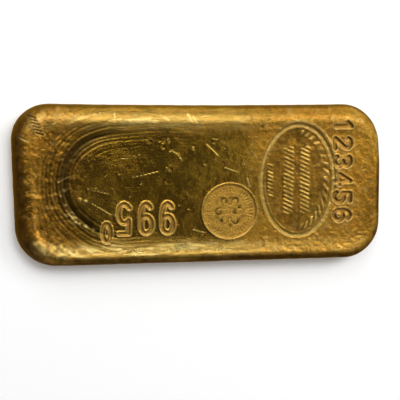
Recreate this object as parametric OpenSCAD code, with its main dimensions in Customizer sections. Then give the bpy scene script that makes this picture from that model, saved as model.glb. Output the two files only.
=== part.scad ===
// Hand-poured one-kilogram gold bar: a shallow slab with wide plan corners, drafted
// walls, a rolled rim and a sunken poured face that carries two struck stamps.
// The rim rolls over more widely along the far side and the left end.
// It lies on its flat mould face. X runs along the bar, Y across it, and Z is up.

/* [Bar] */
// Length of the bar at its widest
bar_length = 118; // [90:1:150]
// Width of the bar at its widest
bar_width = 50; // [44:0.2:70]
// Thickness from the resting face to the crest of the rim
bar_thickness = 9.85; // [8:0.05:16]
// Plan radius of the corners at the widest outline
corner_radius = 12; // [10:0.5:18]

/* [Mould] */
// Draft of the walls, in degrees from upright
wall_draft = 7; // [2:0.5:12]
// Radius of the edge round the resting face
foot_radius = 2; // [1:0.1:3]

/* [Rim] */
// Radius of the rim along the near side and the right end
rim_radius = 2.6; // [2:0.1:3.4]
// Radius of the wider rim along the far side and the left end
wide_rim_radius = 5.4; // [4:0.1:6]
// Depth of the sunken poured face below the crest of the rim
sink_depth = 0.7; // [0.3:0.05:1.2]

/* [Oval stamp] */
// Length of the oval stamp, across the bar
oval_length = 36.5; // [24:0.5:40]
// Width of the oval stamp, along the bar
oval_width = 25; // [16:0.5:30]
// Width of the struck line round the oval
oval_line = 1.1; // [0.6:0.1:2]
// Distance of the oval stamp along the bar from its middle
oval_along = 31; // [28:0.1:34]
// Distance of the oval stamp towards the far edge from the middle
oval_across = 0.6; // [0:0.1:1.5]

/* [Round stamp] */
// Diameter of the round stamp
seal_diameter = 17.6; // [10:0.2:20]
// Distance of the round stamp along the bar from its middle
seal_along = 8.7; // [0:0.1:12]
// Distance of the round stamp towards the near edge from the middle
seal_across = 9; // [0:0.1:10]

/* [Strike] */
// Depth of both stamps below the poured face
strike_depth = 0.35; // [0.1:0.05:0.6]

/* [Hidden] */
$fn = 96;

gold = [0.72, 0.52, 0.16];

// Arcs run this far past the faces they blend into, so that they cross and don't just touch
blend = 0.01;
// Room outside the bar for the solids that trim it
clear = 1;
// How far a hollow bites into the crest of its rim
crest_bite = 0.1;
// How far the poured face stays level outwards from a corner's axis
floor_reach = 0.5;

floor_z = bar_thickness - sink_depth;

// Points of a section are [distance outwards from a corner's axis, height]
rim_centre = [corner_radius - rim_radius, bar_thickness - rim_radius];

// The wall is one drafted line, a little inside the arcs of the rim and the foot
wall_out = [cos(wall_draft), -sin(wall_draft)];
wall_top = rim_centre + (rim_radius - blend) * wall_out;
wall_run = tan(wall_draft);
foot_centre = [
    wall_top.x - (wall_top.y - foot_radius) * wall_run - (foot_radius - blend) / wall_out.x,
    foot_radius - blend
];
wall_foot = foot_centre + (foot_radius - blend) * wall_out;

// The wide rim runs out into the same drafted wall
wide_z = bar_thickness - wide_rim_radius;
wide_centre = [
    wall_top.x - (wide_rim_radius - blend - (wall_top.y - wide_z) * wall_out.y) / wall_out.x,
    wide_z
];
wide_foot_z = wide_z + wide_rim_radius * wall_out.y;

// The wide rim is widest inside the narrow one's outline, so the mould stands out this much under it.
// It is rounded to 0.02 mm, so that the sides and the corners meet on whole hundredths.
wide_gain = 0.02 * round(50 * (corner_radius - wide_centre.x - wide_rim_radius));
core_length = bar_length + wide_gain - 2 * corner_radius;
core_width = bar_width + wide_gain - 2 * corner_radius;

// Radius of a hollow that sweeps up from its level floor to the crest of a rim
function hollow_radius(centre) =
    ((centre.x + crest_bite - floor_reach) ^ 2 + sink_depth ^ 2) / (2 * sink_depth);

// Half section of the bar's edge below the poured face: foot, drafted wall and rolled rim
module edge_section() {
    difference() {
        union() {
            polygon([
                [0, 0],
                [foot_centre.x, 0],
                wall_foot,
                wall_top,
                rim_centre,
                [rim_centre.x, bar_thickness],
                [0, bar_thickness]
            ]);
            translate(rim_centre) circle(rim_radius);
            translate(foot_centre) circle(foot_radius);
        }
        translate([0, -foot_radius]) square([corner_radius, foot_radius]);
    }
}

// Half section of what the wider rim keeps: all below its roll, clear of the wall
module wide_section() {
    square([wide_centre.x, bar_thickness]);
    square([corner_radius + clear, wide_foot_z]);
    translate(wide_centre) circle(wide_rim_radius);
}

// Half section of the air in the hollow beside a rim
module hollow_section(centre) {
    radius = hollow_radius(centre);
    translate([0, floor_z]) square([floor_reach, sink_depth + clear]);
    intersection() {
        translate([floor_reach, floor_z + radius]) circle(radius, $fn = 720);
        translate([floor_reach, floor_z]) square([corner_radius, sink_depth + clear]);
    }
}

// A section turned about one corner's axis
module corner(x_side, y_side, start_angle) {
    translate([x_side * core_length / 2, y_side * core_width / 2, 0])
        rotate([0, 0, start_angle])
            rotate_extrude(angle = 90) children();
}

// A section drawn out along one side, facing the given way, and past either end of it
module side(facing, run, from_middle, before = 0, after = 0) {
    rotate([0, 0, facing])
        translate([from_middle, run / 2 + before, 0])
            rotate([90, 0, 0])
                linear_extrude(before + run + after) children();
}

// A section carried round the far left corner and on past the other ends of its two sides
module two_sides(bottom, top) {
    past = corner_radius + clear;
    corner(-1, 1, 90) children();
    side(90, core_length, core_width / 2, after = past) children();
    side(180, core_width, core_length / 2, before = past) children();
    translate([-core_length / 2, -core_width / 2 - past, bottom])
        cube([core_length + past, core_width + past, top - bottom]);
}

// The slab as the mould and the narrow rim shape it, still level on top
module slab() {
    corner(1, 1, 0) edge_section();
    corner(-1, 1, 90) edge_section();
    corner(-1, -1, 180) edge_section();
    corner(1, -1, 270) edge_section();
    for (facing = [0, 180]) side(facing, core_width, core_length / 2) edge_section();
    for (facing = [90, 270]) side(facing, core_length, core_width / 2) edge_section();
    translate([-core_length / 2, -core_width / 2, 0])
        cube([core_length, core_width, bar_thickness]);
}

// The sunken poured face: the air above both the hollow of the wide rim and that of the narrow one
module hollow() {
    intersection() {
        two_sides(floor_z, bar_thickness + clear) hollow_section(wide_centre);
        rotate([0, 0, 180]) two_sides(floor_z, bar_thickness + clear) hollow_section(rim_centre);
    }
}

// The bar as it is poured, before it is stamped
module poured_slab() {
    difference() {
        intersection() {
            slab();
            two_sides(0, bar_thickness) wide_section();
        }
        hollow();
    }
}

module oval(grow) {
    scale([oval_width / 2 + grow, oval_length / 2 + grow]) circle(1);
}

// The struck line of the oval stamp
module oval_stamp() {
    translate([oval_along, oval_across, floor_z - strike_depth])
        linear_extrude(strike_depth + sink_depth + clear)
            difference() {
                oval(0);
                oval(-oval_line);
            }
}

// The flattened field of the round stamp
module round_stamp() {
    translate([seal_along, -seal_across, floor_z - strike_depth])
        cylinder(d = seal_diameter, h = strike_depth + sink_depth + clear);
}

module ingot() {
    color(gold)
        difference() {
            translate([-wide_gain / 2, wide_gain / 2, 0]) poured_slab();
            oval_stamp();
            round_stamp();
        }
}

ingot();
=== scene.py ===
"""A hand-poured kilo bar of gold: its cast skin, its finish and the studio that it lies in.

Shapes are worked out in millimetres and become metres when a mesh is made.
X runs along the bar, Y across it and Z up, as in the frame. The near side is -Y and the far side is +Y.
"""

import bpy
import numpy as np
from mathutils import Matrix, Vector


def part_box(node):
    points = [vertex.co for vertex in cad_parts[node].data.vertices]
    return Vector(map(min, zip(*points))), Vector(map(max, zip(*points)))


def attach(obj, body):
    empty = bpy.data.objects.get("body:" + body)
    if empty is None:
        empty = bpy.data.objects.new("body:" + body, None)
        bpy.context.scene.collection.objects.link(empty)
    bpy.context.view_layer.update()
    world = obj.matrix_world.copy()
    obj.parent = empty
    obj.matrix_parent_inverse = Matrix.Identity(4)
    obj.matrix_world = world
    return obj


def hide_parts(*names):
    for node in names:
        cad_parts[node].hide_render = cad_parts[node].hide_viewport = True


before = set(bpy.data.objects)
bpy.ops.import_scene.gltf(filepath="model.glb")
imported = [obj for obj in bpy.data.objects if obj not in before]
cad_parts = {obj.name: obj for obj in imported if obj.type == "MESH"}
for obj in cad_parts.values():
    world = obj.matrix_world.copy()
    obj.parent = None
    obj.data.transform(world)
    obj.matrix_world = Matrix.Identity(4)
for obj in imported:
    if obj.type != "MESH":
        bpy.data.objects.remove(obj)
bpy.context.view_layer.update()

MM = 0.001

# Sizes of the bar
low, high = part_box("ingot")
LENGTH = (high.x - low.x) / MM
WIDTH = (high.y - low.y) / MM
CREST = (high.z - low.z) / MM
CORNER_RADIUS = 12.0
WALL_DRAFT = np.radians(7)
FOOT_RADIUS = 2.0
SINK = 0.7

# The rim rolls over more widely along the far side and round the left end,
# and the hollow inside it is tighter along the near side and shallower along the far side
RIM_RADIUS = 2.4
RIM_FAR_EXTRA = 3.4
RIM_LEFT_EXTRA = 2.6
NEAR_TIGHTER = 3.5
FAR_SHALLOWER = 0.35

# Spans from the middle of the bar over which these changes come in
RIM_FAR_SPAN = (4, WIDTH / 2 - 3)
RIM_LEFT_SPAN = (LENGTH / 2 - 18, LENGTH / 2 - 4)
TIGHTER_SPAN = (2, WIDTH / 2 - 6)
SHALLOWER_SPAN = (-12, 16)

# The mesh: columns and rows of the poured face, how far in it ends, and rings down the edge
COLUMNS = 424
ROWS = 178
FACE_INSET = 1.4
RIM_RINGS = 7
WALL_RINGS = 3
FOOT_RINGS = 5

# The casting is a little out of true: lean of the left end, bow of the far side,
# and the sway of the top with the size of its lumps and their shift along the lattice
END_LEAN = 1.46
SIDE_BOW = 0.6
SWAY = 0.08
SWAY_LUMP = 19
SWAY_SHIFT = 300

# High spots are worn down smoothly within this distance of the crest
WORN = 0.08

# The walls' lumps, and how far the walls stand in from the outline so that the lumps stay inside it
WALL_LUMPS = 0.035
WALL_SETBACK = 0.05

# Cooling rings of the poured face, and how much streaks are drawn out along them
RING_CENTRE = (-24.3, 0.0)
RING_REACH = (18.8, 16.3)
RING_PITCH = 2.2
RIPPLE = 0.13
POOL_DEPTH = 0.05
CREASE_DEPTH = 0.18
STREAK_STRETCH = 0.14

# Spans over which the two ends and the two sides come in, for the relief and for the finish,
# and over which the far rim's own finish does
SKIN_ZONES = {"left": (34, 47), "right": (10, 28), "far": (11, 16), "near": (14, 18)}
FINISH_ZONES = {"left": (32, 46), "right": (6, 26), "far": (11, 17), "near": (15, 19)}
FAR_RIM_SPAN = (8, 16)

# Lattice of random numbers behind the soft lumps
LATTICE = (197, 151)


def smooth(share):
    """The cubic that leaves 0 and reaches 1 without a corner."""
    share = np.clip(share, 0, 1)
    return share * share * (3 - 2 * share)


def fade(value, start, end):
    """0 where value is before start, 1 after end, and smooth between them."""
    return smooth((value - start) / (end - start))


def bell(value, width):
    """1 at zero, falling off like a bell of the given half width."""
    return np.exp(-((value / width) ** 2))


def clouds(x, y, size, seed):
    """Seeded soft lumps from -1 to 1: numbers on a lattice of the given size, blended by the cubic."""
    lattice = np.random.default_rng(seed).uniform(-1, 1, LATTICE)
    column = np.floor(x / size).astype(int)
    row = np.floor(y / size).astype(int)
    across = smooth(x / size - column)
    up = smooth(y / size - row)

    def corner(right, above):
        """The lattice's number at one corner of each point's cell."""
        return lattice[(column + right) % LATTICE[0], (row + above) % LATTICE[1]]

    lower = corner(0, 0) * (1 - across) + corner(1, 0) * across
    upper = corner(0, 1) * (1 - across) + corner(1, 1) * across
    return lower * (1 - up) + upper * up


# Form of the bar


def round_corners(x, y, half_x, half_y, radius):
    """Moves a sharp rectangle's points into one with round corners.

    Beyond the corner's centre, shares a and b of the radius become
    a * sqrt(1 - b * b / 2) and b * sqrt(1 - a * a / 2), which sends the square onto the quarter disc.
    """
    share_x = np.maximum(np.abs(x) - (half_x - radius), 0) / radius
    share_y = np.maximum(np.abs(y) - (half_y - radius), 0) / radius
    plain_x = np.minimum(np.abs(x), half_x - radius)
    plain_y = np.minimum(np.abs(y), half_y - radius)
    rounded_x = plain_x + radius * share_x * np.sqrt(1 - share_y**2 / 2)
    rounded_y = plain_y + radius * share_y * np.sqrt(1 - share_x**2 / 2)
    return np.sign(x) * rounded_x, np.sign(y) * rounded_y


def beyond_core(x, y):
    """How far each point lies beyond the rectangle of the corner centres, along X and along Y."""
    return np.abs(x) - (LENGTH / 2 - CORNER_RADIUS), np.abs(y) - (WIDTH / 2 - CORNER_RADIUS)


def inset(x, y):
    """Distance of each point inwards from the widest outline, a rectangle with round corners."""
    past_x, past_y = beyond_core(x, y)
    outside = np.hypot(np.maximum(past_x, 0), np.maximum(past_y, 0))
    inside = np.minimum(np.maximum(past_x, past_y), 0)
    return CORNER_RADIUS - outside - inside


def outward(x, y):
    """Unit direction out of the outline at points near it."""
    past_x, past_y = beyond_core(x, y)
    past_x = np.maximum(past_x, 0) * np.sign(x)
    past_y = np.maximum(past_y, 0) * np.sign(y)
    length = np.maximum(np.hypot(past_x, past_y), 1e-6)
    return past_x / length, past_y / length


def rim_radius(x, y):
    """Radius of the rolled rim, wider along the far side and round the left end."""
    far = fade(y, *RIM_FAR_SPAN)
    left = fade(-x, *RIM_LEFT_SPAN)
    return RIM_RADIUS + np.maximum(RIM_FAR_EXTRA * far, RIM_LEFT_EXTRA * left)


def poured_height(x, y):
    """Height of the poured face.

    The rim is a circle under the crest. The hollow is a circle above the face that touches the rim's
    circle and is level about one corner radius in from the outline.
    """
    depth = inset(x, y)
    radius = rim_radius(x, y)
    sink = SINK - FAR_SHALLOWER * fade(y, *SHALLOWER_SPAN)
    level = CORNER_RADIUS - NEAR_TIGHTER * fade(-y, *TIGHTER_SPAN)
    run = level - radius
    reach = (run**2 + sink**2) / (2 * sink)
    hollow = reach - radius
    meet = radius + radius * run / reach
    rim = CREST - radius + np.sqrt(np.maximum(radius**2 - (depth - radius) ** 2, 0))
    climb = np.clip(level - depth, 0, run)
    bowl = CREST - sink + hollow - np.sqrt(hollow**2 - climb**2)
    return np.where(depth < meet, rim, bowl)


def out_of_true(x, y, z):
    """The casting's own unevenness: the left end leans, the far side bows in and the top sways."""
    left = np.clip(-2 * x / LENGTH, 0, 1) ** 1.5
    far = np.clip(2 * y / WIDTH, 0, 1) ** 2
    middle = 1 - np.clip(2 * x / LENGTH, -1, 1) ** 2
    lumps = clouds(x + SWAY_SHIFT, y + SWAY_SHIFT, SWAY_LUMP, 3)
    leaned = x + END_LEAN * left * (0.5 - y / WIDTH)
    bowed = y - SIDE_BOW * far * middle
    swayed = z + SWAY * (lumps - 1) * (z / CREST) ** 2
    return leaned, bowed, swayed


# Struck digits

# Depth of the digits, width of a stroke's wall, and the metal raised beside it: height, place and width
STRIKE_DEPTH = 0.32
STROKE_WALL = 0.24
LIP_HEIGHT = 0.1
LIP_PLACE = 0.34
LIP_WIDTH = 0.25

# Dirt and painted shade at the foot of a stroke's wall: its place inside the stroke's edge, and its width
FOOT_DIRT_AND_SHADE_PLACE = 0.08
FOOT_DIRT_AND_SHADE_WIDTH = 0.2

# The large plain digits and the small one after them: places along and across the bar, width and height
FINENESS = "995"
FINENESS_ALONG = (-11.3, -18.1, -25.1)
FINENESS_ACROSS = -10.8
FINENESS_CELL = (3.6, 9.2)
FINENESS_STROKE = 0.95
SMALL_DIGIT = "0"
SMALL_DIGIT_PLACE = (-30.6, -15.0)
SMALL_DIGIT_CELL = (2.4, 5.6)

# The plain run of digits at the right end: its place along the bar, and the first and last across it
SERIAL = "123456"
SERIAL_ALONG = 45.9
SERIAL_ENDS = (18.0, -11.0)
SERIAL_CELL = (3.2, 5.3)
SERIAL_STROKE = 1.2
SERIAL_SHARE = 0.85

# Painted shadow reaches this far from the right walls of the run of digits
WALL_SHADOW_REACH = 0.7


def arc(centre, radii, start, end, count=16):
    """Points of an ellipse's arc between two angles in degrees."""
    turn = np.radians(np.linspace(start, end, count))
    return np.stack([centre[0] + radii[0] * np.cos(turn), centre[1] + radii[1] * np.sin(turn)], axis=1)


def line(*points):
    """Straight pieces through the points."""
    return np.array(points, float)


# Each digit fills a cell from -0.5 to 0.5 across and from -1 to 1 upwards
SIX = [arc((0, -0.42), (0.5, 0.58), 0, 360, 26), arc((0.02, 0), (0.52, 1), 205, 48)]
DIGITS = {
    "0": [arc((0, 0), (0.5, 1), 0, 360, 32)],
    "1": [line((-0.3, 0.55), (0.08, 1), (0.08, -1))],
    "2": [arc((0, 0.5), (0.48, 0.5), 165, -30), line((0.41, 0.25), (-0.5, -1), (0.5, -1))],
    "3": [arc((-0.02, 0.52), (0.46, 0.48), 150, -90), arc((-0.02, -0.48), (0.5, 0.52), 90, -150)],
    "4": [line((0.2, -1), (0.2, 1), (-0.5, -0.4), (0.5, -0.4))],
    "5": [line((0.42, 1), (-0.36, 1), (-0.42, 0.1)), arc((-0.04, -0.36), (0.52, 0.64), 128, -145)],
    "6": SIX,
    "9": [-stroke for stroke in SIX],
}


def placed(digit, centre, cell, turn):
    """A digit's strokes in millimetres, scaled to its cell, turned by degrees and set in place."""
    width, height = cell
    angle = np.radians(turn)
    turned = np.array([[np.cos(angle), np.sin(angle)], [-np.sin(angle), np.cos(angle)]])
    return [stroke * (width, height / 2) @ turned + centre for stroke in DIGITS[digit]]


def stroke_distance(x, y, strokes):
    """Distance of each point from the nearest stroke: the least over all of their straight pieces."""
    nearest = np.full(x.shape, np.inf)
    for stroke in strokes:
        for start, end in zip(stroke[:-1], stroke[1:]):
            along = end - start
            share = ((x - start[0]) * along[0] + (y - start[1]) * along[1]) / (along @ along)
            share = np.clip(share, 0, 1)
            away = np.hypot(x - start[0] - share * along[0], y - start[1] - share * along[1])
            nearest = np.minimum(nearest, away)
    return nearest


def fineness_strokes():
    """Plain digits that stand on their heads as the bar lies, with a small one after them."""
    strokes = placed(SMALL_DIGIT, SMALL_DIGIT_PLACE, SMALL_DIGIT_CELL, 180)
    for place, digit in zip(FINENESS_ALONG, FINENESS):
        strokes += placed(digit, (place, FINENESS_ACROSS), FINENESS_CELL, 180)
    return strokes


def serial_strokes():
    """A plain run of digits with their tops to the right, read from the far side to the near one."""
    strokes = []
    for place, digit in zip(np.linspace(*SERIAL_ENDS, len(SERIAL)), SERIAL):
        strokes += placed(digit, (SERIAL_ALONG, place), SERIAL_CELL, -90)
    return strokes


def struck(distance, width):
    """Depth share of a struck line: 1 on its floor, sloping to 0 over the stroke's wall."""
    return 1 - fade(distance, width / 2 - STROKE_WALL, width / 2 + STROKE_WALL)


def lip(distance, width):
    """Metal pushed up beside a struck line, as a share of the lip's height."""
    return bell(distance - width / 2 - LIP_PLACE, LIP_WIDTH)


def foot_dirt_and_shade(distance, width):
    """Share of dirt and painted shade that lies at the foot of a struck line's wall."""
    return bell(distance - width / 2 + FOOT_DIRT_AND_SHADE_PLACE, FOOT_DIRT_AND_SHADE_WIDTH)


# Cast relief of the poured face


def zones(x, y, spans):
    """Shares of the left end, of the right end and of the two sides, each coming in over its span."""
    left = fade(-x, *spans["left"])
    right = fade(x, *spans["right"])
    sides = np.maximum(fade(y, *spans["far"]), fade(-y, *spans["near"]))
    return left, right, sides


def ring_flow(x, y):
    """Distance from the line that the cooling rings run round, and the way along the rings.

    The line starts at the ring centre and runs right. To the left of it X is squeezed,
    so the rings are oval there. The way along is an arc's length round the left and then follows X,
    positive on the far side. It shrinks to nothing towards the line, where the two sides meet.
    """
    squeeze = RING_REACH[1] / RING_REACH[0]
    behind = np.maximum(RING_CENTRE[0] - x, 0) * squeeze
    ahead = np.maximum(x - RING_CENTRE[0], 0)
    side = y - RING_CENTRE[1]
    wander = 0.7 * clouds(x, y, 13, 11) + 0.12 * clouds(x, y, 3.5, 12)
    across = np.hypot(behind, side) + wander
    along = np.copysign(RING_REACH[1] * np.arctan2(np.abs(side), behind) + ahead, side)
    return across, along * fade(across, 0.5, 9)


def streaks(across, along, size, seed):
    """Soft lumps drawn out along the cooling rings."""
    return clouds(along * STREAK_STRETCH, across, size, seed)


def ring_groove(across, shift, half):
    """Share of a groove of the given half width that comes back at every ring.

    The groove is a bell about the nearest whole ring, shifted by a share of the pitch.
    """
    turn = (across - RING_REACH[1]) / RING_PITCH + shift
    return bell((turn - np.round(turn)) * RING_PITCH, half)


def ring_grooves(across):
    """Share of the wide grooves and of the finer, shallower ones between them."""
    return ring_groove(across, 0, 0.5) + 0.7 * ring_groove(across, 0.5, 0.3)


def ring_share(x, y, across):
    """How strongly the rings show: most round the left, fading along both sides and in the pool.

    They are faint in the pool, full at the crease and gone at the rim, patchy, and boldest at the left.
    """
    band = fade(across, 3, 9) * (0.25 + 0.75 * fade(across, 10.5, 16)) * (1 - fade(across, 21.5, 25))
    patchy = 0.75 + 0.25 * clouds(x, y, 5, 13)
    bold = 1 + 0.7 * bell(across - RING_REACH[1] + 0.5, 3.5) * fade(-x, 22, 36)
    inner = fade(inset(x, y), 4.5, 7.5)
    return inner * bold * band * patchy * (0.3 + 0.7 * fade(-x, 0, 30)) * (1 - fade(x, 2, 18))


def cooling_rings(x, y, across):
    """Relief of the grooves where the metal set in steps, of the sunken pool and of the crease round it."""
    left = fade(-x, -6, 30)
    pool = (1 - fade(across, RING_REACH[1] - 1, RING_REACH[1] + 0.8)) * left
    crease = bell(across - RING_REACH[1], 1.0) * fade(-x, 20, 36)
    grooves = ring_grooves(across) * ring_share(x, y, across)
    return -RIPPLE * grooves - POOL_DEPTH * pool - CREASE_DEPTH * crease


def cast_skin(x, y, across, along):
    """Lumps of the cast skin: coarse on the left end, fine on both ends, and streaks along both sides."""
    left, right, sides = zones(x, y, SKIN_ZONES)
    coarse = clouds(x, y, 1.9, 31) + 0.7 * clouds(x, y, 1.0, 32)
    fine = clouds(x, y, 0.8, 33) + 0.7 * clouds(x, y, 1.3, 36)
    broad = clouds(x, y, 11, 34) + 0.5 * clouds(x, y, 6, 35)
    drawn = streaks(across, along, 0.75, 37) + 0.6 * streaks(across, along, 1.4, 38)
    skin = (0.004 + 0.036 * left + 0.014 * right) * coarse
    skin += (0.011 + 0.036 * right + 0.04 * left) * fine
    return skin + 0.018 * broad + (0.004 + 0.026 * sides * (1 - 0.3 * right)) * drawn


# Scars of the poured face

# Scratches: start and end along and across the bar, half width, depth
SCRATCHES = [
    (-36.2, -1.3, -30.0, -2.9, 0.16, 0.05),
    (-35.0, -5.7, -29.0, -9.4, 0.17, 0.06),
    (-22.2, 2.1, -14.3, 3.7, 0.15, 0.05),
    (-26.5, 7.8, -23.4, 8.1, 0.15, 0.04),
    (-9.7, 10.3, -7.9, 9.2, 0.16, 0.05),
    (-7.9, 9.2, -6.8, 7.5, 0.16, 0.05),
    (-56.9, 14.7, -53.7, 13.4, 0.3, 0.08),
    (1.2, 12.3, 4.8, 8.8, 0.16, 0.05),
    (7.1, 4.9, 11.1, 3.4, 0.2, 0.07),
    (12.6, 5.9, 14.3, 5.9, 0.15, 0.05),
    (13.4, 6.8, 13.4, 5.0, 0.15, 0.05),
    (14.4, 1.4, 15.1, -1.0, 0.3, 0.07),
    (15.6, 10.2, 17.6, 7.8, 0.15, 0.04),
    (-43.1, -8.8, -40.0, -10.0, 0.35, 0.07),
    (-45.2, 1.0, -42.0, 2.6, 0.25, 0.05),
    (-3.0, -14.5, 0.5, -15.6, 0.22, 0.04),
    # The scratches along the rims also carry painted glints: their bare metal stands for white glints
    (-29.2, 20.0, -25.6, 20.4, 0.35, 0.06),
    (-27.6, 21.9, -27.4, 18.8, 0.3, 0.06),
    (-23.0, 20.3, -16.5, 20.5, 0.35, 0.05),
    (-4.8, 21.6, -3.2, 19.8, 0.4, 0.08),
    (-3.0, 21.0, -1.8, 19.4, 0.35, 0.07),
    (-12.4, 21.0, -10.8, 20.2, 0.35, 0.06),
    (-35.0, -21.2, -32.6, -21.0, 0.3, 0.05),
    (-27.0, -20.8, -24.6, -20.6, 0.35, 0.05),
    (-12.0, -21.0, -10.0, -20.8, 0.3, 0.05),
    (0.0, -21.2, 2.4, -21.0, 0.3, 0.05),
]

# Dings: place along and across the bar, half width, depth
DINGS = [
    (-16.8, 13.1, 0.5, 0.09),
    (-13.7, 13.7, 0.4, 0.07),
    (-12.5, 11.5, 0.5, 0.09),
    (-10.3, 4.3, 0.5, 0.1),
    (-11.2, 0.3, 0.45, 0.08),
    (-57.0, 8.4, 0.6, 0.12),
    (-56.0, -8.5, 0.6, 0.12),
    (19.0, 17.8, 0.5, 0.1),
]

# Nodules of metal beside the crease: place along and across the bar, half width, height
NODULES = [
    (-43.4, -1.9, 0.7, 0.13),
    (-44.6, -3.4, 0.4, 0.07),
    (-43.2, -6.2, 0.45, 0.08),
    (-42.2, -9.1, 0.7, 0.13),
    (-41.2, -10.4, 0.55, 0.1),
    (-40.4, -11.5, 0.7, 0.14),
    (-38.9, -12.0, 0.5, 0.1),
    (-37.2, -12.9, 0.6, 0.12),
    (-34.7, -13.8, 0.55, 0.1),
    (-36.9, -5.1, 0.6, 0.11),
    (-38.7, -4.7, 0.55, 0.1),
]

# A row of nicks across the far left corner: its first and last, how many, each one's run and depth
NICK_ROW = ((-52.4, 20.7), (-50.4, 15.6))
NICKS = 6
NICK_RUN = ((-1.0, 0.35), (1.0, -0.25))
NICK_DEPTH = 0.22

# Flecks: how many, how far in from the outline, half lengths, half width, height and share of bare metal
FLECKS = 420
FLECK_MARGIN = 3
FLECK_HALVES = (0.2, 0.7)
FLECK_WIDTH = 0.18
FLECK_HEIGHT = 0.05
FLECK_BARE = 11


def dented(away, half, rise, beside):
    """A bell-shaped hollow one deep, with a share of that raised at so many half widths beside it."""
    return rise * bell(away - beside * half, half) - bell(away, half)


def wear(x, y):
    """Relief of the scars, and shares of the bare metal, with painted glints on the scratches along the
    rims, and of the dirt in them.

    A scratch is a groove with metal raised beside it, a ding is a pit with a raised edge,
    a nodule is a bead with a ragged outline, and a nick is a short cut.
    """
    relief = np.zeros(x.shape)
    bare_and_highlight = np.zeros(x.shape)
    dirt = np.zeros(x.shape)
    for start_x, start_y, end_x, end_y, half, depth in SCRATCHES:
        away = stroke_distance(x, y, [line((start_x, start_y), (end_x, end_y))])
        relief += depth * dented(away, half, 0.7, 1.6)
        # Wider scratches are barer, which paints the white glints of the scratches along the rims
        bare_and_highlight = np.maximum(bare_and_highlight, (0.35 + 1.4 * half) * bell(away, half))
    for ding_x, ding_y, half, depth in DINGS:
        away = np.hypot(x - ding_x, y - ding_y)
        relief += depth * dented(away, half, 0.5, 1.8)
        dirt = np.maximum(dirt, bell(away, half))
    ragged = 1 + 0.5 * clouds(x, y, 0.7, 22)
    for nodule_x, nodule_y, half, height in NODULES:
        bead = bell(np.hypot(x - nodule_x, y - nodule_y) * ragged, half)
        relief += 0.8 * height * bead
        bare_and_highlight = np.maximum(bare_and_highlight, 0.8 * bead)
    for middle in np.linspace(*NICK_ROW, NICKS):
        away = stroke_distance(x, y, [middle + NICK_RUN])
        relief += NICK_DEPTH * (0.6 * bell(away - 0.45, 0.22) - bell(away, 0.28))
        bare_and_highlight = np.maximum(bare_and_highlight, 0.35 * bell(away - 0.5, 0.15))
        dirt = np.maximum(dirt, bell(away, 0.3))
    return relief, bare_and_highlight, dirt


def flecks(x, y, seed=21):
    """Relief of seeded small flecks, and the share of bare metal on them.

    Each is a short scratch or ridge at its own angle: a bell along it times a narrow one across it.
    """
    rng = np.random.default_rng(seed)
    reach_x = LENGTH / 2 - FLECK_MARGIN
    reach_y = WIDTH / 2 - FLECK_MARGIN
    relief = np.zeros(x.shape)
    bare_and_highlight = np.zeros(x.shape)
    for _ in range(FLECKS):
        place_x = rng.uniform(-reach_x, reach_x)
        place_y = rng.uniform(-reach_y, reach_y)
        turn = rng.uniform(0, np.pi)
        half = rng.uniform(*FLECK_HALVES)
        height = rng.uniform(-FLECK_HEIGHT, FLECK_HEIGHT)
        along = (x - place_x) * np.cos(turn) + (y - place_y) * np.sin(turn)
        across = (y - place_y) * np.cos(turn) - (x - place_x) * np.sin(turn)
        mark = bell(along, half) * bell(across, FLECK_WIDTH)
        relief += height * mark
        bare_and_highlight = np.maximum(bare_and_highlight, mark * FLECK_BARE * abs(height))
    return relief, bare_and_highlight


# Stamps

# The oval: middle, sizes along and across the bar, and width of its line
OVAL_CENTRE = (31.0, 0.6)
OVAL_SIZE = (25.0, 36.5)
OVAL_LINE = 1.1

# The rope round the oval's right side: depth inside the line, half width, strands in a turn and slant
BORDER_ROPE_DEPTH = 2.5
BORDER_ROPE_HALF = 0.8
BORDER_STRANDS = 34
BORDER_SLANT = 2.2

# The straight ropes: place along the bar from the oval's middle, reach to either side, half width, pitch
ROPE_ROWS = [
    (2.2, 10.6, 1.6, 1.35),
    (-3.2, 10.6, 1.6, 1.35),
    (-9.1, 5.2, 0.9, 1.2),
]
ROPE_SLANT = 0.45

# The round stamp: middle and radius, the petals of its rosette and the ticks round its border
SEAL_CENTRE = (8.7, -9.0)
SEAL_RADIUS = 8.8
PETALS = 6
PETAL_REACH = 4.6
TICKS = 44
TICK_RADIUS = 6.9

# What each mark does: how far it lowers the face, and how much it flattens the cast relief
MARK_DEPTHS = {
    "digits": STRIKE_DEPTH,
    "line": 0.8 * STRIKE_DEPTH,
    "oval": 0.12,
    "ropes": -0.12,
    "seal": 0.7 * STRIKE_DEPTH,
    "cuts": 0.22,
    "lips": -LIP_HEIGHT,
}
MARK_FLATTENS = {"seal": 0.5, "oval": 0.4, "digits": 0.6}

# The least frost and bare metal on each mark, the lips' bare metal being a painted highlight, and what each
# adds to the warmth
MARK_FROST = {"seal": 0.8, "digits": 0.6, "line": 0.7, "lips": 0.65, "ropes": 0.5}
MARK_BARE_AND_HIGHLIGHT = {"digits": 0.15, "line": 0.4, "seal": 0.15, "lips": 0.4, "ropes": 0.45}
MARK_WARMTH = {"digits": 0.5, "lips": 0.3, "seal": 0.3, "line": -0.6, "ropes": -0.5}


def oval_radii(x, y):
    """Signed distance from the oval line's middle, and the angle round it.

    The ellipse's level is 1 on the line. How far it is past 1, divided by its slope there,
    is the distance to first order.
    """
    half_x = (OVAL_SIZE[0] - OVAL_LINE) / 2
    half_y = (OVAL_SIZE[1] - OVAL_LINE) / 2
    share_x = (x - OVAL_CENTRE[0]) / half_x
    share_y = (y - OVAL_CENTRE[1]) / half_y
    level = np.hypot(share_x, share_y)
    slope = np.hypot(share_x / half_x, share_y / half_y) / np.maximum(level, 1e-6)
    return (level - 1) / np.maximum(slope, 1e-6), np.arctan2(share_y, share_x)


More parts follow.
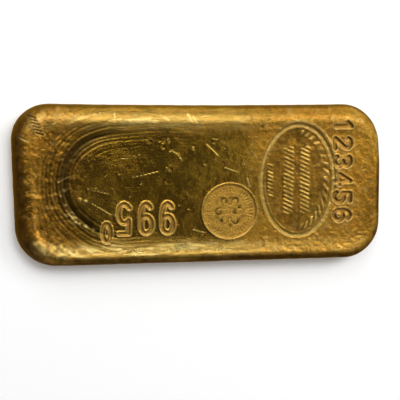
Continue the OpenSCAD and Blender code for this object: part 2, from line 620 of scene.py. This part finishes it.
def oval_ornament(x, y):
    """Raised ropes inside the oval: two tall rows and a short one, and one round the right side.

    The strands are waves along a rope that slant across it, cut off at its edges and ends.
    """
    away, angle = oval_radii(x, y)
    across = away + BORDER_ROPE_DEPTH
    ends = fade(np.cos(angle), 0.02, 0.12)
    strand = fade(np.cos(BORDER_STRANDS * angle + BORDER_SLANT * across), -0.1, 0.45)
    ropes = (1 - fade(np.abs(across), BORDER_ROPE_HALF, BORDER_ROPE_HALF + 0.3)) * strand * ends
    along = y - OVAL_CENTRE[1]
    for row_x, reach, half, pitch in ROPE_ROWS:
        across = x - OVAL_CENTRE[0] - row_x
        strand = fade(np.cos(2 * np.pi * (along + ROPE_SLANT * across) / pitch), -0.15, 0.4)
        edges = 1 - fade(np.abs(across), half - 0.15, half + 0.15)
        ends = 1 - fade(np.abs(along), reach, reach + 0.4)
        ropes = np.maximum(ropes, strand * edges * ends)
    worn = 0.6 + 0.4 * fade(clouds(x, y, 2.3, 62), -0.5, 0.4)
    return ropes * worn


def from_seal(x, y):
    """Distance of each point from the middle of the round stamp."""
    return np.hypot(x - SEAL_CENTRE[0], y - SEAL_CENTRE[1])


def seal_ornament(x, y):
    """Lines cut in the round stamp: a worn rosette of six petals, and fine ticks round the border.

    A petal's outline follows a power of the cosine of the angle, and the ticks are waves round the middle.
    """
    radius = from_seal(x, y)
    angle = np.arctan2(y - SEAL_CENTRE[1], x - SEAL_CENTRE[0])
    petal = PETAL_REACH * np.abs(np.cos(PETALS / 2 * angle)) ** 0.7
    rosette = bell(radius - petal, 0.38) * (1 - fade(radius, PETAL_REACH, PETAL_REACH + 0.6))
    tick = fade(np.cos(TICKS * angle), 0.2, 0.8) * (1 - fade(np.abs(radius - TICK_RADIUS), 0.45, 0.75))
    worn = 0.25 + 0.75 * fade(clouds(x, y, 2.7, 61), -0.4, 0.3)
    return np.maximum(rosette, 0.6 * tick) * worn


def struck_marks(x, y):
    """Shares of what the punches left: floors, metal raised beside them, dirt and painted shade at the feet
    of their walls, and painted shadow against the right walls of the run of digits.

    Part of the oval's outline was struck twice, which left a second ridge outside it.
    """
    fineness = stroke_distance(x, y, fineness_strokes())
    serial = stroke_distance(x, y, serial_strokes())
    oval, angle = oval_radii(x, y)
    from_line = np.abs(oval)
    seal = from_seal(x, y) - SEAL_RADIUS
    in_oval = 1 - fade(oval, -1.2, -0.4)
    in_seal = 1 - fade(seal, -0.6, -0.1)

    fineness_floor = struck(fineness, FINENESS_STROKE)
    serial_floor = struck(serial, SERIAL_STROKE)
    second_ridge = bell(oval - 1.5, 0.4) * fade(np.cos(angle - 0.9), 0.3, 0.7)
    # The lips' bare metal is a painted highlight along the edges of the marks
    lips = lip(fineness, FINENESS_STROKE) + lip(serial, SERIAL_STROKE)
    lips += 0.35 * lip(from_line, OVAL_LINE) + 0.7 * bell(seal - 0.05, 0.3) + second_ridge
    # Dirt and painted shade at the feet of the struck walls, of the oval's line and inside the seal's edge
    feet = foot_dirt_and_shade(fineness, FINENESS_STROKE) + foot_dirt_and_shade(serial, SERIAL_STROKE)
    feet += foot_dirt_and_shade(from_line, OVAL_LINE) + 0.5 * bell(seal + 0.35, 0.25)
    beside = stroke_distance(x + WALL_SHADOW_REACH, y, serial_strokes())
    return {
        "digits": np.maximum(fineness_floor, SERIAL_SHARE * serial_floor),
        "line": struck(from_line, OVAL_LINE),
        "oval": in_oval,
        "ropes": oval_ornament(x, y) * in_oval,
        "seal": in_seal,
        "cuts": seal_ornament(x, y) * in_seal,
        "lips": lips,
        "feet": np.clip(feet, 0, 1),
        # Painted shadow on the right-hand part of each stroke of the run of digits
        "walls": np.clip(serial_floor - struck(beside, SERIAL_STROKE), 0, 1),
    }


# Finish of the poured face


def brown_and_dark_reflection(x, y, depth):
    """Painted dark reflection: a share of dark brown along the outline, fading inwards over an uneven
    reach.

    It reaches furthest in at the left end, less at the near side and the right end and least at the
    far side, where it is weaker too.
    """
    out_x, out_y = outward(x, y)
    reach = 0.75 + 2.7 * np.maximum(-out_x, 0) + 0.45 * np.maximum(out_x, 0)
    reach += 0.85 * np.maximum(-out_y, 0)
    uneven = 0.5 * clouds(x, y, 3.1, 71) + 0.25 * clouds(x, y, 1.2, 72)
    strength = 1 - 0.2 * np.maximum(out_y, 0)
    return strength * (1 - fade(depth + uneven * fade(depth, 0, 1), 0.4 * reach, reach + 1.3))


def rim_wear_and_highlight(x, y, across, along):
    """Share of paler bare gold on the inner slopes of the rim along both sides: wear from hands, and a
    painted highlight on the bright bands.

    Each slope is a bell about its own distance in from the outline, broken up into streaks.
    """
    depth = inset(x, y)
    _, out_y = outward(x, y)
    far = (0.4 + 0.45 * bell(x + 10, 26)) * bell(depth - 5.4, 2.4)
    near = bell(depth - 4.6, 2.3)
    slope = np.where(y > 0, far, near) * fade(np.abs(out_y), 0.3, 0.8)
    streak = fade(streaks(across, along, 0.8, 73) + 0.5 * clouds(x, y, 1.1, 74), -0.2, 0.7)
    return slope * (0.35 + 0.65 * streak)


def pools(x, across):
    """Shares of the pool inside the crease, and of the basin at its left."""
    pool = 1 - fade(across, RING_REACH[1] - 3, RING_REACH[1] + 2)
    return pool, pool * fade(-x, 14, 28)


def speckle(x, y):
    """Fine lumps that the bare specks, the patina and the grime of the two ends share."""
    return clouds(x, y, 0.8, 75) + 0.7 * clouds(x, y, 1.7, 76)


def at_least(values, shares, marks):
    """Raises the values on each mark to the mark's own share."""
    for part, share in shares.items():
        values = np.maximum(values, share * np.clip(marks[part], 0, 1))
    return values


def face_frost(x, y, across, marks, bare_and_highlight):
    """Share of frost, which makes the gold matt: most on the rims, the right end and the marks."""
    left, right, _ = zones(x, y, FINISH_ZONES)
    pool, basin = pools(x, across)
    far_rim = bell(inset(x, y) - 5.5, 3) * fade(y, *FAR_RIM_SPAN)
    near_rim = fade(-y, 16, 19)
    frost = 0.22 + 0.12 * left + 0.28 * right - 0.16 * pool * (1 - right) + 0.08 * basin
    frost += 0.45 * far_rim * (1 - 0.5 * right) + 0.2 * near_rim * (1 - right)
    frost += 0.1 * clouds(x, y, 4, 41) + 0.1 * clouds(x, y, 1.4, 42)
    frost *= 1 - 0.25 * marks["oval"]
    return np.maximum(at_least(frost, MARK_FROST, marks), 0.7 * bare_and_highlight)


def face_bare_and_highlight(x, y, across, along, marks, bare_and_highlight):
    """Share of bare metal and painted highlight: the most of the scars, the rim's worn and highlit slopes,
    the specks of both ends and the marks.
    """
    left, right, _ = zones(x, y, FINISH_ZONES)
    # Paler gold on the rim's inner slopes, partly wear and partly painted highlight
    rim_wear_and_highlight_share = rim_wear_and_highlight(x, y, across, along) * (1 - 0.75 * right)
    specks = 0.2 * (left + right) * fade(speckle(x, y), 0.35, 0.95)
    return at_least(np.maximum.reduce([bare_and_highlight, rim_wear_and_highlight_share, specks]), MARK_BARE_AND_HIGHLIGHT, marks)


def face_grime_and_shade(x, y, across, marks, bare_and_highlight, dirt):
    """Share of grime and painted shade, summed: grime in the scars, the seal's cuts and blots and the left
    end, darker in the oval's field between the ropes, dirt and painted shade at the feet of struck walls,
    painted shadow on the right-hand part of the run of digits, and darker along the ring grooves and the
    crease.
    """
    left, _, _ = zones(x, y, FINISH_ZONES)
    mottle = 0.25 * clouds(x, y, 2.2, 43) + 0.25 * clouds(x, y, 0.9, 46)
    field = marks["oval"] * (1 - marks["ropes"]) * (0.4 + mottle)
    blots = fade(clouds(x, y, 1.5, 63), 0.2, 0.6) * (1 - fade(from_seal(x, y), 3.5, 6.5))
    grime_and_shade = 0.5 * marks["feet"] + 0.8 * marks["walls"] + marks["cuts"] + field
    grime_and_shade += 0.7 * marks["seal"] * blots + 0.8 * dirt + 0.55 * left * fade(-speckle(x, y), 0.4, 1.1)

    # Darker along the ring grooves and the crease
    crease = bell(across - RING_REACH[1], 1.5) * fade(-x, 26, 41)
    crease *= 0.85 + 0.15 * clouds(x, y, 3.2, 45)
    unstruck = 1 - np.clip(marks["digits"] + marks["lips"], 0, 1)
    grime_and_shade += (0.8 * ring_grooves(across) * ring_share(x, y, across) + 1.4 * crease) * unstruck
    return grime_and_shade * (1 - 0.9 * bare_and_highlight)


def face_warmth(x, y, marks):
    """Share of redder gold: most on the left end, less on the right and the sides, and set by each mark."""
    left, right, sides = zones(x, y, FINISH_ZONES)
    warmth = 0.15 + 0.85 * left + 0.55 * right + 0.25 * sides + 0.25 * clouds(x, y, 7, 44)
    return warmth + sum(share * marks[part] for part, share in MARK_WARMTH.items())


def face_patina(x, y, across, marks, bare_and_highlight):
    """Share of patina: most on the left end and the rims, worn off the struck floors, scars and ridges."""
    left, right, sides = zones(x, y, FINISH_ZONES)
    pool, basin = pools(x, across)
    patina = 0.55 + 0.25 * left + (0.6 * sides - 0.15) * right - 0.04 * pool * (1 - right) - 0.12 * basin
    patina += 0.4 * (1 - fade(inset(x, y), 3, 7)) * np.maximum(right, fade(y, *FAR_RIM_SPAN))
    floors = np.maximum.reduce([marks[part] for part in ("seal", "digits", "line", "ropes")])
    ridges = (1 - np.clip(ring_grooves(across), 0, 1)) * ring_share(x, y, across)
    specks = (0.8 * left + 0.3 * right) * fade(speckle(x, y), 0.2, 0.9)
    return patina * (1 - 0.8 * floors) * (1 - bare_and_highlight) * (1 - 0.25 * ridges) * (1 - specks)


def face_drawn(x, y):
    """Share of texture that is drawn out along the rings: most left of the middle, some on the sides."""
    left, right, sides = zones(x, y, FINISH_ZONES)
    middle = np.clip(1 - left - right, 0, 1)
    return middle * (0.7 - 0.35 * fade(x, -28, -8)) + 0.3 * sides


def face_finish(x, y, across, along, marks, bare_and_highlight, dirt):
    """How the poured face is finished, as shares from 0 to 1 over the grid."""
    finish = {
        "frost": face_frost(x, y, across, marks, bare_and_highlight),
        "grime_and_shade": face_grime_and_shade(x, y, across, marks, bare_and_highlight, dirt),
        "warm": face_warmth(x, y, marks),
        "patina": face_patina(x, y, across, marks, bare_and_highlight),
        "bare_and_highlight": face_bare_and_highlight(x, y, across, along, marks, bare_and_highlight),
        "drawn": face_drawn(x, y),
        "brown_and_dark_reflection": brown_and_dark_reflection(x, y, inset(x, y)),
        "mould": np.zeros(x.shape),
    }
    return {name: np.clip(values, 0, 1) for name, values in finish.items()}


# Mesh of the bar

# Shares that are stored on the points, and what the finish of the face gives way to down the edge
FINISH_SHARES = ("frost", "grime_and_shade", "warm", "patina", "bare_and_highlight", "drawn", "brown_and_dark_reflection", "mould")
EDGE_FROST = 0.6
EDGE_WARMTH = 0.5
EDGE_PATINA = 0.7
EDGE_BROWN = 0.18


def face_surface(x, y):
    """Height of the poured face and its finish, all as arrays over the grid.

    The height is the poured form with the cast relief, the scars and the marks added to it.
    Near the crest it nears a limit as the hyperbolic tangent does.
    """
    across, along = ring_flow(x, y)
    marks = struck_marks(x, y)
    scars, scar_bare_and_glint, scar_dirt = wear(x, y)
    fleck_relief, fleck_bare = flecks(x, y)

    inner = fade(inset(x, y), 2.0, 6.0)
    cast = cooling_rings(x, y, across) * inner + cast_skin(x, y, across, along) + fleck_relief
    for part, share in MARK_FLATTENS.items():
        cast *= 1 - share * marks[part]
    height = poured_height(x, y) + cast + scars
    for part, depth in MARK_DEPTHS.items():
        height -= depth * marks[part]
    over = np.maximum(height - CREST + WORN, 0)
    height = np.where(over > 0, CREST - WORN + WORN * np.tanh(over / WORN), height)

    bare_and_highlight = np.clip(np.maximum(scar_bare_and_glint, fleck_bare * (1 - marks["seal"])), 0, 1)
    finish = face_finish(x, y, across, along, marks, bare_and_highlight, scar_dirt)
    return height, finish | {"flow_across": across, "flow_along": along}


def face_grid():
    """The poured face as a grid, its columns and rows even before the corners are rounded."""
    half_x = LENGTH / 2 - FACE_INSET
    half_y = WIDTH / 2 - FACE_INSET
    columns = np.linspace(-half_x, half_x, COLUMNS + 1)
    rows = np.linspace(-half_y, half_y, ROWS + 1)
    x, y = round_corners(*np.meshgrid(columns, rows), half_x, half_y, CORNER_RADIUS - FACE_INSET)
    height, finish = face_surface(x, y)
    return np.stack([x, y, height], axis=-1), finish


def border(grid):
    """The grid's rim as one loop, counter-clockwise from above, starting at the near left corner."""
    return np.concatenate([grid[0, :-1], grid[:-1, -1], grid[-1, :0:-1], grid[:0:-1, 0]])


def edge_section(radius, start):
    """How far out of the widest outline each ring of the edge lies, and its height.

    At each place of the border the rolled rim's circle runs on from the face's own height,
    then the drafted wall is straight, and the foot's circle turns under to the resting face.
    """
    upright = np.pi / 2 + WALL_DRAFT
    first = np.arcsin(1 - FACE_INSET / radius)
    plain = CREST - radius + radius * np.cos(first)

    share = np.linspace(0, 1, RIM_RINGS + 1)[1:, None]
    tilt = first + share * (upright - first)
    rim_out = radius * np.sin(tilt) - radius
    rim_z = CREST - radius + radius * np.cos(tilt) + (start - plain) * (1 - share)

    foot_z = FOOT_RADIUS + FOOT_RADIUS * np.cos(upright)
    foot_out = rim_out[-1] - (rim_z[-1] - foot_z) * np.tan(WALL_DRAFT)
    share = np.linspace(0, 1, WALL_RINGS + 1)[1:, None]
    wall_out = rim_out[-1] + share * (foot_out - rim_out[-1])
    wall_z = rim_z[-1] + share * (foot_z - rim_z[-1])

    tilt = np.linspace(upright, np.pi, FOOT_RINGS + 1)[1:, None]
    under_out = foot_out + FOOT_RADIUS * (np.sin(tilt) - np.sin(upright))
    under_z = np.broadcast_to(FOOT_RADIUS + FOOT_RADIUS * np.cos(tilt), under_out.shape)
    return np.concatenate([rim_out, wall_out, under_out]), np.concatenate([rim_z, wall_z, under_z])


def edge_finish(loop, out, z, walk, finish):
    """Finish of the edge: the face's own fades out over the rim, and the mould's begins below its roll."""
    x, y, start = loop.T
    leaving = fade(start - z, 0.2, 1.8)
    ragged = 0.9 * clouds(walk, z, 3.4, 54) + 0.4 * clouds(walk, z, 1.1, 55)
    below = fade(CREST - rim_radius(x, y) - z + 0.7 * ragged, -0.5, 1.7)
    # Painted dark reflection: dark brown along the rim's outline; the walls below keep their own brown tone
    rim_brown = brown_and_dark_reflection(x + 0 * z, y + 0 * z, -out)
    wall_brown = EDGE_BROWN * (1 + clouds(walk, z, 4, 53))
    return {
        "frost": finish["frost"] * (1 - below) + EDGE_FROST * below,
        "grime_and_shade": finish["grime_and_shade"] * (1 - leaving),
        "warm": finish["warm"] * (1 - below) + EDGE_WARMTH * below,
        "patina": finish["patina"] * (1 - leaving) + EDGE_PATINA * leaving,
        "bare_and_highlight": finish["bare_and_highlight"] * (1 - leaving),
        "drawn": finish["drawn"] * (1 - below),
        "brown_and_dark_reflection": rim_brown * (1 - below) + wall_brown * below,
        "mould": below,
        "flow_across": finish["flow_across"] - out + CREST - z,
        "flow_along": finish["flow_along"] + 0 * z,
    }


def edge_rings(loop, finish):
    """Points and finish of the edge: its section carried round the face's border, with the walls' lumps."""
    x, y, start = loop.T
    out_x, out_y = outward(x, y)
    out, z = edge_section(rim_radius(x, y), start)
    steps = np.roll(loop, -1, axis=0) - loop
    walk = np.cumsum(np.hypot(steps[:, 0], steps[:, 1])) + 0 * z
    lumps = clouds(walk, z, 2.6, 51) + 0.7 * clouds(walk, 2 * z, 1.2, 52)
    on_wall = fade(z, 0, 1.5) * (1 - fade(z, CREST - 2, CREST - 0.8))
    reach = FACE_INSET + out + WALL_LUMPS * lumps * on_wall - WALL_SETBACK
    rings = np.stack([x + reach * out_x, y + reach * out_y, z], axis=-1)
    return rings, edge_finish(loop, out, z, walk, finish)


def skin_faces(rings):
    """Quads of the face grid and of the edge's rings, and one polygon for the resting face."""
    index = np.arange((ROWS + 1) * (COLUMNS + 1)).reshape(ROWS + 1, COLUMNS + 1)
    face = np.stack([index[:-1, :-1], index[:-1, 1:], index[1:, 1:], index[1:, :-1]], axis=-1)
    loop = border(index)
    below = index.size + np.arange(rings * len(loop)).reshape(rings, len(loop))
    levels = np.concatenate([loop[None], below])
    ahead = np.roll(levels, -1, axis=1)
    edge = np.stack([levels[:-1], levels[1:], ahead[1:], ahead[:-1]], axis=-1)
    quads = np.concatenate([face.reshape(-1, 4), edge.reshape(-1, 4)])
    return quads.tolist() + [levels[-1, ::-1].tolist()]


def make_ingot_skin():
    """The whole skin of the bar as one closed mesh, with its finish stored on its points."""
    grid, on_face = face_grid()
    rings, on_edge = edge_rings(border(grid), {name: border(values) for name, values in on_face.items()})
    points = np.concatenate([grid.reshape(-1, 3), rings.reshape(-1, 3)])
    points = np.stack(out_of_true(*points.T), axis=1)
    finish = {name: np.concatenate([on_face[name].ravel(), on_edge[name].ravel()]) for name in on_face}

    mesh = bpy.data.meshes.new("ingot_skin")
    mesh.from_pydata((points * MM).tolist(), [], skin_faces(len(rings)))
    mesh.shade_smooth()
    for name in FINISH_SHARES:
        stored = mesh.attributes.new(name, "FLOAT", "POINT")
        stored.data.foreach_set("value", finish[name].astype(np.float32))
    flow = np.zeros(points.shape, np.float32)
    flow[:, 0] = finish["flow_across"] * MM
    flow[:, 1] = finish["flow_along"] * STREAK_STRETCH * MM
    stored = mesh.attributes.new("flow", "FLOAT_VECTOR", "POINT")
    stored.data.foreach_set("vector", flow.ravel())
    piece = bpy.data.objects.new("ingot_skin", mesh)
    bpy.context.scene.collection.objects.link(piece)
    return piece


# Shader maths


class Value:
    """A shader socket that takes part in plain arithmetic: each operator adds a Math node."""

    def __init__(self, finish, socket):
        self.finish = finish
        self.socket = socket

    def math(self, operation, first, second):
        """Adds the Math node of one operation."""
        return self.finish.node("ShaderNodeMath", {"operation": operation}, {0: first, 1: second})

    def __add__(self, other):
        return self.math("ADD", self, other)

    def __radd__(self, other):
        return self.math("ADD", other, self)

    def __sub__(self, other):
        return self.math("SUBTRACT", self, other)

    def __rsub__(self, other):
        return self.math("SUBTRACT", other, self)

    def __mul__(self, other):
        return self.math("MULTIPLY", self, other)

    def __rmul__(self, other):
        return self.math("MULTIPLY", other, self)


class Finish:
    """The node tree of a material or a world."""

    def __init__(self, owner):
        owner.use_nodes = True
        self.tree = owner.node_tree
        self.tree.nodes.clear()

    def plug(self, socket, value):
        """Links a Value to a socket, or sets a plain number or colour on it."""
        if isinstance(value, Value):
            self.tree.links.new(value.socket, socket)
        else:
            socket.default_value = value

    def node(self, kind, settings=None, sockets=None, output=0):
        """Adds a node, its settings first and then its sockets, and gives one of its outputs, if any."""
        made = self.tree.nodes.new(kind)
        for name, value in (settings or {}).items():
            setattr(made, name, value)
        for name, value in (sockets or {}).items():
            self.plug(made.inputs[name], value)
        return Value(self, made.outputs[output]) if made.outputs else None

    def attribute(self, name, output="Fac"):
        """A number or a vector stored on the piece's points."""
        return self.node("ShaderNodeAttribute", {"attribute_name": name}, output=output)

    def noise(self, place, size, detail, rough=0.55):
        """Soft noise from 0 to 1 whose lumps are about the given size in millimetres."""
        sockets = {"Vector": place, "Scale": 1 / (size * MM), "Detail": detail, "Roughness": rough}
        return self.node("ShaderNodeTexNoise", {}, sockets, "Fac")

    def mix(self, share, first, second):
        """Blends two colours."""
        sockets = {"Factor": share, 6: first, 7: second}
        return self.node("ShaderNodeMix", {"data_type": "RGBA"}, sockets, 2)

    def between(self, value, start, end):
        """0 where value is at start, 1 at end, held outside them."""
        sockets = {"Value": value, "From Min": start, "From Max": end}
        return self.node("ShaderNodeMapRange", {"clamp": True}, sockets)


# Gold and what lies on it, with its painted shade, painted highlight and painted dark reflection, and the
# tint of its reflections at grazing angles
GOLD = (0.61, 0.345, 0.036, 1)
RED_GOLD = (0.59, 0.262, 0.026, 1)
MOULD_GOLD = (0.7, 0.41, 0.075, 1)
# Pale gold: bare metal, and the painted highlight on the rims' inner slopes, the lips and the rims'
# scratches
BARE_AND_HIGHLIGHT_GOLD = (0.89, 0.655, 0.19, 1)
PATINA = (0.245, 0.15, 0.015, 1)
# Dark brown for the painted dark reflection along the outline, and for the walls' own brown tone
DARK_REFLECTION_BROWN = (0.055, 0.023, 0.006, 1)
# Dark colour of the grime, of the painted shade at the feet of struck walls and of the painted shadow on
# the run of digits
GRIME_AND_SHADE = (0.05, 0.03, 0.005, 1)
EDGE_TINT = (0.75, 0.62, 0.35, 1)
BUMP_HEIGHT = 0.25


def gold_finish():
    """Old poured gold: bright where it set free, frosted where struck, with a dark reflection painted in
    brown along its outline.

    Each share blends in its own colour: grime carries painted shade, bare metal a painted highlight
    and the dark brown a painted dark reflection. Frost, grime and the dark brown roughen the gold,
    and bare metal has more of a clear gloss.
    """
    material = bpy.data.materials.new("gold")
    finish = Finish(material)
    place = finish.node("ShaderNodeTexCoord", output="Object")
    flow = finish.attribute("flow", "Vector")
    shares = [finish.attribute(name) for name in FINISH_SHARES]
    frost, grime_and_shade, warm, patina, bare_and_highlight, drawn, brown, mould = shares
    lumps = finish.noise(place, 1.6, 4)
    mottle = finish.noise(place, 1.3, 6, 0.75)
    grain = finish.noise(place, 0.6, 4, 0.65)
    streak = finish.noise(flow, 0.55, 5, 0.65)
    texture = mottle * (1 - drawn) + streak * drawn

    colour = finish.mix(warm, GOLD, RED_GOLD)
    colour = finish.mix(mould, colour, MOULD_GOLD)
    colour = finish.mix(finish.between(texture, 0.42, 0.62) * patina, colour, PATINA)
    colour = finish.mix(bare_and_highlight, colour, BARE_AND_HIGHLIGHT_GOLD)
    colour = finish.mix(brown, colour, DARK_REFLECTION_BROWN)
    colour = finish.mix(grime_and_shade * 0.9, colour, GRIME_AND_SHADE)

    rough = 0.14 + frost * 0.4 + (texture - 0.5) * 0.25 + grime_and_shade * 0.12 + brown * 0.1
    cast = lumps * (0.1 + frost) + grain * (0.2 + frost * 0.65)
    height = cast * (1 - drawn * 0.4) + streak * drawn * 0.4
    bump = {"Strength": 1.0, "Distance": BUMP_HEIGHT * MM, "Height": height}
    sockets = {
        "Base Color": colour,
        "Metallic": 1.0,
        "Roughness": rough,
        "Normal": finish.node("ShaderNodeBump", {}, bump, "Normal"),
        "Coat Weight": 0.12 + bare_and_highlight * 0.7 - brown * 0.12,
        "Coat Roughness": 0.25,
        "Specular Tint": EDGE_TINT,
    }
    shader = finish.node("ShaderNodeBsdfPrincipled", {}, sockets)
    finish.node("ShaderNodeOutputMaterial", {}, {"Surface": shader})
    return material


# Studio, with its sizes in metres

# The floor glows a little for the rays that see it, so its white is partly its own
FLOOR_SIZE = 6.0
FLOOR_WHITE = (0.95, 0.95, 0.95, 1)
FLOOR_GLOW = 0.11
GLOW_WHITE = (1, 1, 1, 1)
SEEING_RAYS = ("Is Camera Ray", "Is Glossy Ray", "Is Transmission Ray")

# Soft panels: name, centre, size, brightness and whether the gold mirrors it.
# The floor panel is there for the bar's shadow on the floor.
PANELS = [
    ("key_panel", (-0.15, 0.57, 0.6), (0.46, 0.86), 2.9, True),
    ("window_panel", (0.55, 0.42, 0.68), (0.4, 0.4), 6.2, True),
    ("fill_panel", (0.46, 0.0, 0.6), (0.5, 0.8), 0.55, True),
    ("floor_panel", (0.3, 0.5, 1.3), (0.5, 0.5), 9.4, False),
]

# The room: the way to its window, its walls and its ceiling
WINDOW_SIDE = (0.64, 0.77, 0.0)
GREY_WALL = (0.46, 0.46, 0.46, 1)
PALE_WALL = (0.8, 0.8, 0.8, 1)
CEILING = (0.06, 0.06, 0.06, 1)

# The camera, with its lens and sensor in millimetres
CAMERA_PLACE = Vector((-62.7, 21.8, 309.7)) * MM
CAMERA_AIM = Vector((0.0, -5.6, 5.0)) * MM
CAMERA_LENS = 88.7
CAMERA_SENSOR = 36.0
CAMERA_NEAREST = 0.01


def make_floor():
    """A plain pale floor under the bar: one square with a matt white that glows a little."""
    half = FLOOR_SIZE / 2
    corners = [(-half, -half, 0), (half, -half, 0), (half, half, 0), (-half, half, 0)]
    mesh = bpy.data.meshes.new("studio_floor")
    mesh.from_pydata(corners, [], [(0, 1, 2, 3)])
    floor = bpy.data.objects.new("studio_floor", mesh)
    bpy.context.scene.collection.objects.link(floor)
    material = bpy.data.materials.new("studio_white")
    finish = Finish(material)
    camera, glossy, passing = (finish.node("ShaderNodeLightPath", output=name) for name in SEEING_RAYS)
    strength = (camera + glossy + passing) * FLOOR_GLOW
    matt = finish.node("ShaderNodeBsdfDiffuse", {}, {"Color": FLOOR_WHITE})
    glow = finish.node("ShaderNodeEmission", {}, {"Color": GLOW_WHITE, "Strength": strength})
    shader = finish.node("ShaderNodeAddShader", {}, {0: matt, 1: glow})
    finish.node("ShaderNodeOutputMaterial", {}, {"Surface": shader})
    mesh.materials.append(material)
    return floor


def make_panel(name, centre, size, radiance, mirrored):
    """A soft light panel that faces straight down. Its power gives the wanted brightness all over it."""
    light = bpy.data.lights.new(name, "AREA")
    light.shape = "RECTANGLE"
    light.size, light.size_y = size
    light.energy = radiance * np.pi * size[0] * size[1]
    panel = bpy.data.objects.new(name, light)
    panel.location = centre
    panel.visible_glossy = mirrored
    bpy.context.scene.collection.objects.link(panel)


def make_world():
    """A room with grey walls, which are paler towards the window, and a dark ceiling."""
    world = bpy.data.worlds.new("studio")
    bpy.context.scene.world = world
    finish = Finish(world)
    look = finish.node("ShaderNodeTexCoord", output="Generated")
    rise = finish.node("ShaderNodeSeparateXYZ", {}, {"Vector": look}, "Z")
    facing = finish.node(
        "ShaderNodeVectorMath", {"operation": "DOT_PRODUCT"}, {0: look, 1: WINDOW_SIDE}, "Value"
    )
    wall = finish.mix(finish.between(facing, -0.6, 0.9), GREY_WALL, PALE_WALL)
    shade = finish.mix(finish.between(rise, 0.2, 0.65), wall, CEILING)
    ground = finish.node("ShaderNodeBackground", {}, {"Color": shade, "Strength": 1.0})
    finish.node("ShaderNodeOutputWorld", {}, {"Surface": ground})


def make_camera():
    """A camera that looks down over the left half of the bar, with +Y up in the picture."""
    data = bpy.data.cameras.new("camera")
    data.lens = CAMERA_LENS
    data.sensor_width = CAMERA_SENSOR
    data.clip_start = CAMERA_NEAREST
    ahead = (CAMERA_AIM - CAMERA_PLACE).normalized()
    right = ahead.cross(Vector((0, 1, 0))).normalized()
    above = right.cross(ahead)
    camera = bpy.data.objects.new("camera", data)
    turn = Matrix((right, above, -ahead)).transposed().to_4x4()
    camera.matrix_world = Matrix.Translation(CAMERA_PLACE) @ turn
    bpy.context.scene.collection.objects.link(camera)
    bpy.context.scene.camera = camera


make_camera()
ingot = make_ingot_skin()
ingot.data.materials.append(gold_finish())
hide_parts("ingot")
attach(ingot, "root")

make_floor()
for panel_values in PANELS:
    make_panel(*panel_values)
make_world()
bpy.context.scene.view_settings.view_transform = "Standard"
